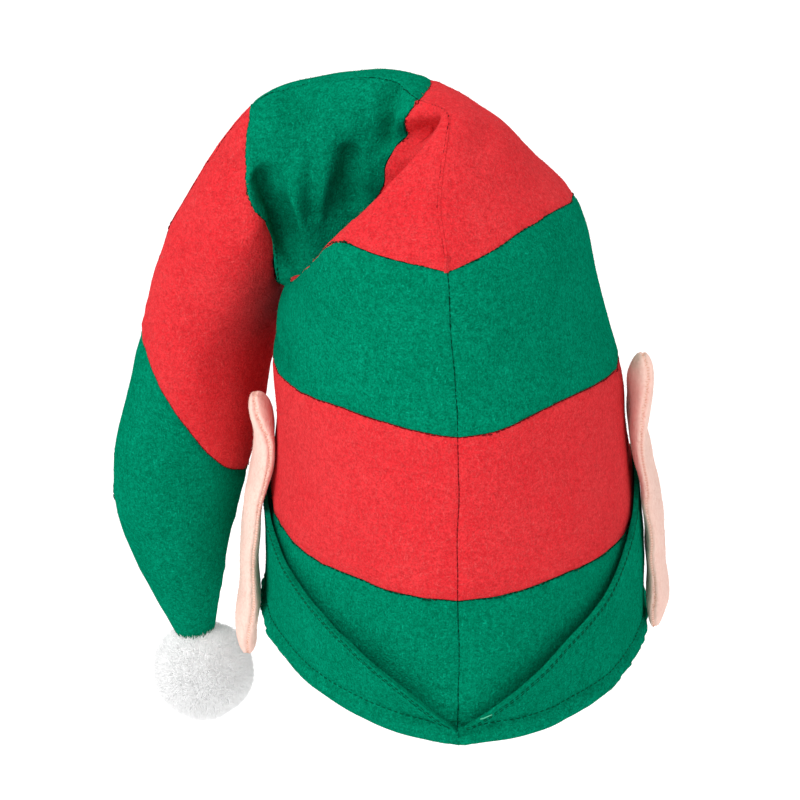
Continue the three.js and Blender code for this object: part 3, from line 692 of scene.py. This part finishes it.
def pressFold(fold, pieces):
    pieceName, depth, width, line = fold
    line = [Vector(place) * millimetre for place in line]
    reach = 2.6 * width * millimetre
    lowest = [min(place[axis] for place in line) - reach for axis in range(3)]
    highest = [max(place[axis] for place in line) + reach for axis in range(3)]
    carrier = bpy.data.objects[pieceName]
    normal = Vector()
    for place in line:
        outwards = carrier.closest_point_on_mesh(place)[2]
        seen = outwards.dot(Vector(studio["cameraPlace"]) - place) > 0
        normal += outwards if seen else -outwards
    normal.normalize()
    for piece in pieces:
        for vertex in piece.data.vertices:
            place = vertex.co
            if all(lowest[axis] < place[axis] < highest[axis] for axis in range(3)):
                away = awayFromLine(place, line) / (width * millimetre)
                vertex.co = place - normal * (depth * millimetre * math.exp(-away * away))


def drawEdge(draw):
    pieceNames, shift, width, line = draw
    line = [Vector(place) * millimetre for place in line]
    for pieceName in pieceNames:
        for vertex in bpy.data.objects[pieceName].data.vertices:
            away = awayFromLine(vertex.co, line) / (width * millimetre)
            vertex.co += Vector(shift) * millimetre * math.exp(-away * away)


# Draws the felt in along its seams, with small puckers beside them.
def pullSeams(pieces, places):
    tree = KDTree(len(places))
    for number, (place, normal) in enumerate(places):
        tree.insert(place, number)
    tree.balance()
    for piece in pieces:
        for vertex in piece.data.vertices:
            found, number, away = tree.find(vertex.co)
            if away < 3 * seamPull["puckerWidth"]:
                dip = -seamPull["dip"] * math.exp(-(away / seamPull["dipWidth"]) ** 2)
                wave = noise.noise(found / seamPull["puckerWave"]) * seamPull["pucker"]
                pucker = wave * math.exp(-(away / seamPull["puckerWidth"]) ** 2)
                vertex.co += places[number][1] * (dip + pucker)


# A gentle unevenness that runs on from piece to piece.
def rippleFelt(piece):
    for vertex in piece.data.vertices:
        slow = noise.noise_vector(vertex.co / ripple["wave"]) * ripple["height"]
        quick = noise.noise_vector(vertex.co / ripple["smallWave"]) * ripple["smallHeight"]
        vertex.co += slow + quick


def dressNode(piece, node, values):
    piece.data.materials.clear()
    piece.data.materials.append(materials[values["felt"]])
    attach(piece, "root")
    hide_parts(node)


# The edges of a band's outer wall, each as places along it. A place is kept as the piece's vertex
# that is nearest to it, how far off it lies and the way out of the felt, so it moves with the felt.
def seamEdges(piece, source, outer):
    tree = KDTree(len(piece.data.vertices))
    for vertex in piece.data.vertices:
        tree.insert(vertex.co, vertex.index)
    tree.balance()
    mesh = bmesh.new()
    mesh.from_mesh(source.data)
    found = []
    for edge in mesh.edges:
        sides = [face for face in edge.link_faces if face.index in outer]
        if len(sides) != 1:
            continue
        start, end = [vertex.co for vertex in edge.verts]
        count = max(2, round(edge.calc_length() / seamPull["spacing"]))
        row = []
        for step in range(count + 1):
            place = start.lerp(end, step / count)
            corner, number, away = tree.find(place)
            row.append((number, place - corner, sides[0].normal.copy(), place))
        found.append(row)
    mesh.free()
    return found


# Thread that shows in the seams: one row where two bands meet. Its colour is far darker than the felt and also paints
# the shade in the seam's gap.
def threadSeams(made, seams):
    shape = stitchShape()
    places = [(owner, entry[3]) for owner, rows in enumerate(seams) for row in rows for entry in row]
    tree = KDTree(len(places))
    for number, (owner, place) in enumerate(places):
        tree.insert(place, number)
    tree.balance()
    for owner, piece in enumerate(made):
        lines = []
        for row in seams[owner]:
            near = tree.find_range(row[len(row) // 2][3], seamThread["reach"])
            if all(places[number][0] >= owner for place, number, away in near):
                corners = piece.data.vertices
                lines.append([(corners[number].co + off, normal) for number, off, normal, place in row])
        felt = piece.data.materials[0]
        thread = "greenSeamThread" if felt == materials["greenFelt"] else "redSeamThread"
        row = layStitches(piece.name + "_thread", shape, lines, seamThread, materials[thread])
        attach(row, "root")
    bpy.data.objects.remove(shape)


def makePanels():
    made = []
    seams = []
    for name, values in panels.items():
        boxes = [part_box(values["node"] + side) for side in ("_left", "_right")]
        middle = sum((Vector(corner) for box in boxes for corner in box), Vector()) / 4
        for side in ("left", "right"):
            node = values["node"] + "_" + side
            source = copyOfNode(node, "source")
            outer, inner = wallFaces(source, middle)
            piece = bpy.data.objects.new(name + "_" + side, source.data.copy())
            bpy.context.scene.collection.objects.link(piece)
            softenFelt(piece, values["finer"])
            seams.append(seamEdges(piece, source, outer))
            addAllowance(piece, source, inner, min(values["finer"], 2))
            bpy.data.objects.remove(source)
            dressNode(piece, node, values)
            made.append(piece)
    pullSeams(made, [(entry[3], entry[2]) for rows in seams for row in rows for entry in row])
    for fold in folds.values():
        pressFold(fold, made)
    for draw in draws.values():
        drawEdge(draw)
    for piece in made:
        rippleFelt(piece)
    threadSeams(made, seams)
    return made


bandPieces = makePanels()
print("felt bands made")


# Cuff, its hem and its topstitching

stitching = {
    "length": 2.1 * millimetre,
    "gap": 0.8 * millimetre,
    "thick": 0.55 * millimetre,
    "lift": 0.1 * millimetre,
    "hemHeight": 10.5 * millimetre,
    "edgeRows": (1.5 * millimetre, 2.7 * millimetre),
    "steps": 300,
    "groove": 0.8 * millimetre,
    "grooveWidth": 1.3 * millimetre,
    "hemPucker": 1.5 * millimetre,
    "hemWave": 4.2 * millimetre,
    "hemPuff": 0.9 * millimetre,
    "edgeRoll": 0.8 * millimetre,
    "edgeRollWidth": 3.5 * millimetre,
    "close": 0.17 * millimetre,
    "closeWidth": 5 * millimetre,
}


def surfaceOf(pieces):
    corners = []
    faces = []
    for piece in pieces:
        first = len(corners)
        corners.extend(vertex.co.copy() for vertex in piece.data.vertices)
        faces.extend(tuple(first + corner for corner in face.vertices) for face in piece.data.polygons)
    return BVHTree.FromPolygons(corners, faces)


# The outermost point of a surface on one bearing and at one height, seen from outside.
def outsideAt(surface, bearing, height):
    way = Vector((math.cos(bearing), math.sin(bearing), 0))
    place, normal, face, away = surface.ray_cast(way * 0.3 + Vector((0, 0, height)), -way, 0.25)
    return (place, normal) if place else (None, None)


# The height at which a surface stops on one bearing, between a height on it and one past it.
def limitOf(surface, bearing, on, past):
    for step in range(14):
        middle = (on + past) / 2
        if outsideAt(surface, bearing, middle)[0]:
            on = middle
        else:
            past = middle
    return on


def cuffBearings(side):
    start = math.pi / 2 if side == "left" else -math.pi / 2
    return [start + math.pi * step / stitching["steps"] for step in range(1, stitching["steps"])]


# The rows of stitches on one half of the cuff: lists of places with the way out at each.
def cuffRows(cuff, around, side):
    own = surfaceOf([cuff])
    both = surfaceOf(around)
    bearings = cuffBearings(side)
    tops = [limitOf(own, bearing, 5 * millimetre, 100 * millimetre) for bearing in bearings]
    rows = {"hem": [], "edgeHigh": [], "edgeLow": []}
    for number, bearing in enumerate(bearings):
        top = tops[number]
        bottom = limitOf(both, bearing, 6 * millimetre, -20 * millimetre)
        before = max(number - 2, 0)
        after = min(number + 2, len(tops) - 1)
        run = (bearings[after] - bearings[before]) * 98 * millimetre
        slant = math.hypot(1, (tops[after] - tops[before]) / run)
        hem = bottom + stitching["hemHeight"]
        place, normal = outsideAt(both, bearing, hem)
        if place:
            rows["hem"].append((place, normal))
        for row, drop in zip(("edgeHigh", "edgeLow"), stitching["edgeRows"]):
            height = top - drop * slant
            place, normal = outsideAt(own, bearing, height)
            if place and height > hem - 1.5 * millimetre:
                rows[row].append((place, normal))
    return rows


# Rolls the flap's edge a little away from the crown and draws the two halves together at their seams.
def rollEdge(cuff, row, side):
    tree = KDTree(len(row))
    for number, (place, normal) in enumerate(row):
        tree.insert(place, number)
    tree.balance()
    for vertex in cuff.data.vertices:
        found, number, away = tree.find(vertex.co)
        share = math.exp(-(away / stitching["edgeRollWidth"]) ** 2)
        vertex.co += row[number][1] * (stitching["edgeRoll"] * share)
        vertex.co.x += side * stitching["close"] * math.exp(-(vertex.co.x / stitching["closeWidth"]) ** 2)


# Presses a groove under the rows and puckers the felt below the hem's row.
def pressRows(pieces, rows):
    places = [entry for row in rows.values() for entry in row]
    tree = KDTree(len(places))
    for number, (place, normal) in enumerate(places):
        tree.insert(place, number)
    tree.balance()
    hemPlaces = rows["hem"]
    hemTree = KDTree(len(hemPlaces))
    for number, (place, normal) in enumerate(hemPlaces):
        hemTree.insert(place, number)
    hemTree.balance()
    for piece in pieces:
        for vertex in piece.data.vertices:
            found, number, away = tree.find(vertex.co)
            if away < 4 * stitching["grooveWidth"]:
                share = math.exp(-(away / stitching["grooveWidth"]) ** 2)
                vertex.co -= places[number][1] * (stitching["groove"] * share)
            found, number, away = hemTree.find(vertex.co)
            if away < 14 * millimetre and vertex.co.z < found.z:
                share = math.exp(-((away - 6 * millimetre) / (4 * millimetre)) ** 2)
                wave = noise.noise(vertex.co / stitching["hemWave"]) * stitching["hemPucker"]
                vertex.co += hemPlaces[number][1] * (share * (stitching["hemPuff"] + wave))
                vertex.co.z += share * 0.5 * wave


def makeCuff(bands):
    shape = stitchShape()
    cuffs = {}
    for side in ("left", "right"):
        cuff = copyOfNode("cuff_" + side, "cuffHalf_" + side)
        softenFelt(cuff, cuffCut["finer"])
        dressNode(cuff, "cuff_" + side, cuffCut)
        rippleFelt(cuff)
        cuffs[side] = cuff
    brims = [piece for piece in bands if piece.name.startswith("brimBand")]
    around = list(cuffs.values()) + brims
    rowSets = {side: cuffRows(cuffs[side], around, side) for side in cuffs}
    for side, rows in rowSets.items():
        rollEdge(cuffs[side], rows["edgeHigh"], 1 if side == "left" else -1)
        pressRows([cuffs[side]], rows)
    for side in cuffs:
        rows = cuffRows(cuffs[side], around, side)
        piece = layStitches("cuffStitches_" + side, shape, rows.values(), stitching, materials["greenThread"])
        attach(piece, "root")
    bpy.data.objects.remove(shape)
    return list(cuffs.values())


cuffPieces = makeCuff(bandPieces)
print("cuff made")


# One stitch of the hem came loose beside the front seam and shows as a pale end of thread.
looseThread = {
    "places": [(6.5, -109.6, 12.9), (8.5, -110.0, 12.6), (10.6, -109.9, 12.9), (12.6, -109.2, 13.5)],
    "thick": 0.45 * millimetre,
}


def makeLooseThread():
    curve = bpy.data.curves.new("looseThread", "CURVE")
    curve.dimensions = "3D"
    curve.bevel_depth = looseThread["thick"] / 2
    curve.bevel_resolution = 1
    curve.use_fill_caps = True
    spline = curve.splines.new("NURBS")
    spline.points.add(len(looseThread["places"]) - 1)
    surface = surfaceOf(cuffPieces + [piece for piece in bandPieces if piece.name.startswith("brimBand")])
    for point, place in zip(spline.points, looseThread["places"]):
        found, normal, face, away = surface.find_nearest(Vector(place) * millimetre)
        point.co = (*(found + normal * 0.3 * millimetre), 1)
    spline.use_endpoint_u = True
    spline.order_u = 3
    thread = bpy.data.objects.new("looseThread", curve)
    bpy.context.scene.collection.objects.link(thread)
    makeActive(thread)
    bpy.ops.object.convert(target="MESH")
    thread = bpy.context.object
    thread.data.materials.append(materials["paleThread"])
    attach(thread, "root")


makeLooseThread()


# Ears

ears = {
    "finer": 3,
    "seamDepth": 0.9 * millimetre,
    "seamWidth": 1.1 * millimetre,
    "wave": 17 * millimetre,
    "waveHeight": 1.5 * millimetre,
    "length": 1.7 * millimetre,
    "gap": 1.0 * millimetre,
    "thick": 0.36 * millimetre,
    "lift": 0.05 * millimetre,
}


# The seam where an ear's two layers meet, up its front edge, over the point and down its back.
def earSeam(piece):
    levels = {}
    for vertex in piece.data.vertices:
        levels.setdefault(round(vertex.co.z, 4), []).append(vertex.co.copy())
    rings = [ring for height, ring in sorted(levels.items()) if len(ring) > 4]
    rise = [min(ring, key=lambda place: place.y) for ring in rings]
    fall = [max(ring, key=lambda place: place.y) for ring in reversed(rings)]
    line = []
    corners = rise + fall
    for start, end in zip(corners, corners[1:]):
        count = max(1, round((end - start).length / (0.8 * millimetre)))
        line.extend(start.lerp(end, step / count) for step in range(count))
    return line


def onSurface(surface, places):
    found = [surface.find_nearest(place) for place in places]
    return [(place, normal) for place, normal, face, away in found]


def makeEar(side, shape):
    piece = copyOfNode("ear_" + side, "earPad_" + side)
    line = earSeam(piece)
    applyModifier(piece, "SUBSURF", levels=ears["finer"], render_levels=ears["finer"])
    line = [place for place, normal in onSurface(surfaceOf([piece]), line)]
    for vertices in (piece.data.vertices,):
        for vertex in vertices:
            vertex.co += noise.noise_vector(vertex.co / ears["wave"]) * ears["waveHeight"]
    line = [place + noise.noise_vector(place / ears["wave"]) * ears["waveHeight"] for place in line]
    tree = KDTree(len(line))
    for number, place in enumerate(line):
        tree.insert(place, number)
    tree.balance()
    normals = [vertex.normal.copy() for vertex in piece.data.vertices]
    for vertex, normal in zip(piece.data.vertices, normals):
        found, number, away = tree.find(vertex.co)
        share = math.exp(-(away / ears["seamWidth"]) ** 2)
        vertex.co -= normal * (ears["seamDepth"] * share)
    makeActive(piece)
    bpy.ops.object.shade_smooth()
    piece.data.materials.append(materials["pinkFleece"])
    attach(piece, "root")
    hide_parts("ear_" + side)
    rows = [onSurface(surfaceOf([piece]), line)]
    seam = layStitches("earSeam_" + side, shape, rows, ears, materials["pinkThread"], crossways=True)
    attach(seam, "root")
    return piece


seamStitch = stitchShape()
earPieces = [makeEar(side, seamStitch) for side in ("left", "right")]
bpy.data.objects.remove(seamStitch)
print("ears made")


# Fibres that stand off the surface

fluff = {
    "felt": {"count": 9000, "length": 1.9 * millimetre, "thick": 0.09 * millimetre, "rise": 0.55},
    "fleece": {"count": 7000, "length": 1.2 * millimetre, "thick": 0.09 * millimetre, "rise": 0.9},
    "seed": 5,
}


# A thin three-sided strand that bends over towards its end.
def addStrand(corners, faces, root, way, bend, length, thick):
    side = way.orthogonal().normalized()
    other = way.cross(side)
    first = len(corners)
    for share, width in ((0.0, 1.0), (0.55, 0.8)):
        middle = root + way * (length * share) + bend * (length * share * share)
        for corner in range(3):
            turn = corner * 2 * math.pi / 3
            ring = side * math.cos(turn) + other * math.sin(turn)
            corners.append(middle + ring * (thick * width / 2))
    corners.append(root + way * length + bend * length)
    for corner in range(3):
        after = (corner + 1) % 3
        faces.append((first + corner, first + after, first + 3 + after, first + 3 + corner))
        faces.append((first + 3 + corner, first + 3 + after, first + 6))
    faces.append((first + 2, first + 1, first))


# Strands on the faces of some pieces that look out into the open.
def makeFluff(name, pieces, sky, material, values):
    chance = random.Random(fluff["seed"])
    corners = []
    faces = []
    spots = []
    weights = []
    for piece in pieces:
        for face in piece.data.polygons:
            spots.append((piece, face))
            weights.append(face.area)
    for piece, face in chance.choices(spots, weights, k=values["count"] * 3):
        if len(corners) >= values["count"] * 7:
            break
        first, second, third = [piece.data.vertices[corner].co for corner in face.vertices[:3]]
        one, two = sorted((chance.random(), chance.random()))
        root = first * one + second * (two - one) + third * (1 - two)
        normal = face.normal
        if sky.ray_cast(root + normal * 0.4 * millimetre, normal, 0.3)[0]:
            continue
        turn = chance.uniform(0, 2 * math.pi)
        side = normal.orthogonal().normalized()
        flat = side * math.cos(turn) + normal.cross(side) * math.sin(turn)
        way = (normal * values["rise"] * chance.uniform(0.4, 1.2) + flat).normalized()
        bend = (flat * chance.uniform(-0.5, 0.5) - normal * chance.uniform(0, 0.5)) * 0.8
        length = values["length"] * chance.uniform(0.5, 1.3)
        addStrand(corners, faces, root - normal * 0.1 * millimetre, way, bend, length, values["thick"])
    mesh = bpy.data.meshes.new(name)
    mesh.from_pydata(corners, [], faces)
    piece = bpy.data.objects.new(name, mesh)
    bpy.context.scene.collection.objects.link(piece)
    piece.data.materials.append(material)
    makeActive(piece)
    bpy.ops.object.shade_smooth()
    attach(piece, "root")


def makeAllFluff():
    feltPieces = bandPieces + cuffPieces
    sky = surfaceOf(feltPieces)
    for colour, finish in (("green", "greenFelt"), ("red", "redFelt")):
        own = [piece for piece in feltPieces if piece.data.materials[0] == materials[finish]]
        makeFluff(colour + "Fibres", own, sky, materials[finish], fluff["felt"])
    makeFluff("fleeceFibres", earPieces, surfaceOf(earPieces), materials["pinkFleece"], fluff["fleece"])


makeAllFluff()
print("fibres made")


# Pompom

pompom = {
    "radius": 25.2 * millimetre,
    "core": 20.5 * millimetre,
    "lump": 1.3 * millimetre,
    "lumpWave": 9 * millimetre,
    "tufts": 3600,
    "strandsPerTuft": 5,
    "spread": 1.3 * millimetre,
    "strandThick": 0.5 * millimetre,
    "seed": 11,
}


# One tuft: strands of yarn that fan out from a shared root.
def makeTuft(chance):
    corners = []
    faces = []
    for strand in range(pompom["strandsPerTuft"]):
        turn = chance.uniform(0, 2 * math.pi)
        flat = Vector((math.cos(turn), math.sin(turn), 0))
        root = flat * chance.uniform(0, 1) * pompom["spread"]
        length = (pompom["radius"] - pompom["core"]) * chance.uniform(0.85, 1.1)
        lean = Vector((chance.uniform(-0.35, 0.35), chance.uniform(-0.35, 0.35), 1)).normalized()
        bend = Vector((chance.uniform(-0.3, 0.3), chance.uniform(-0.3, 0.3), 0))
        addStrand(corners, faces, root, lean, bend, length, pompom["strandThick"])
    return corners, faces


def makePompom():
    low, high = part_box("pompom")
    centre = (Vector(low) + Vector(high)) / 2
    chance = random.Random(pompom["seed"])
    tufts = [makeTuft(chance) for kind in range(12)]
    corners = []
    faces = []
    golden = math.pi * (3 - math.sqrt(5))
    for number in range(pompom["tufts"]):
        height = 1 - 2 * (number + 0.5) / pompom["tufts"]
        across = math.sqrt(1 - height * height)
        way = Vector((across * math.cos(number * golden), across * math.sin(number * golden), height))
        lump = noise.noise(way * pompom["radius"] / pompom["lumpWave"]) * pompom["lump"]
        root = centre + way * (pompom["core"] - 0.8 * millimetre + lump)
        turned = way.to_track_quat("Z", "X").to_matrix() @ Matrix.Rotation(chance.uniform(0, 6.28), 3, "Z")
        first = len(corners)
        places, sides = tufts[number % len(tufts)]
        corners.extend(turned @ place + root for place in places)
        faces.extend(tuple(first + corner for corner in face) for face in sides)
    mesh = bpy.data.meshes.new("pompomStrands")
    mesh.from_pydata(corners, [], faces)
    strands = bpy.data.objects.new("pompomStrands", mesh)
    bpy.context.scene.collection.objects.link(strands)
    strands.data.materials.append(materials["whiteYarn"])
    makeActive(strands)
    bpy.ops.object.shade_smooth()
    deselectAll()
    bpy.ops.mesh.primitive_ico_sphere_add(subdivisions=5, radius=pompom["core"], location=centre)
    core = bpy.context.object
    core.name = "pompomCore"
    bpy.ops.object.transform_apply(location=True, rotation=True, scale=True)
    for vertex in core.data.vertices:
        way = (vertex.co - centre).normalized()
        lump = noise.noise(way * pompom["radius"] / pompom["lumpWave"]) * pompom["lump"]
        grain = noise.noise(vertex.co / (2 * millimetre)) * 0.8 * millimetre
        vertex.co += way * (lump + grain)
    core.data.materials.append(materials["whiteYarn"])
    bpy.ops.object.shade_smooth()
    for piece in (strands, core):
        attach(piece, "root")
        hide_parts("pompom")


makePompom()
print("pompom made")
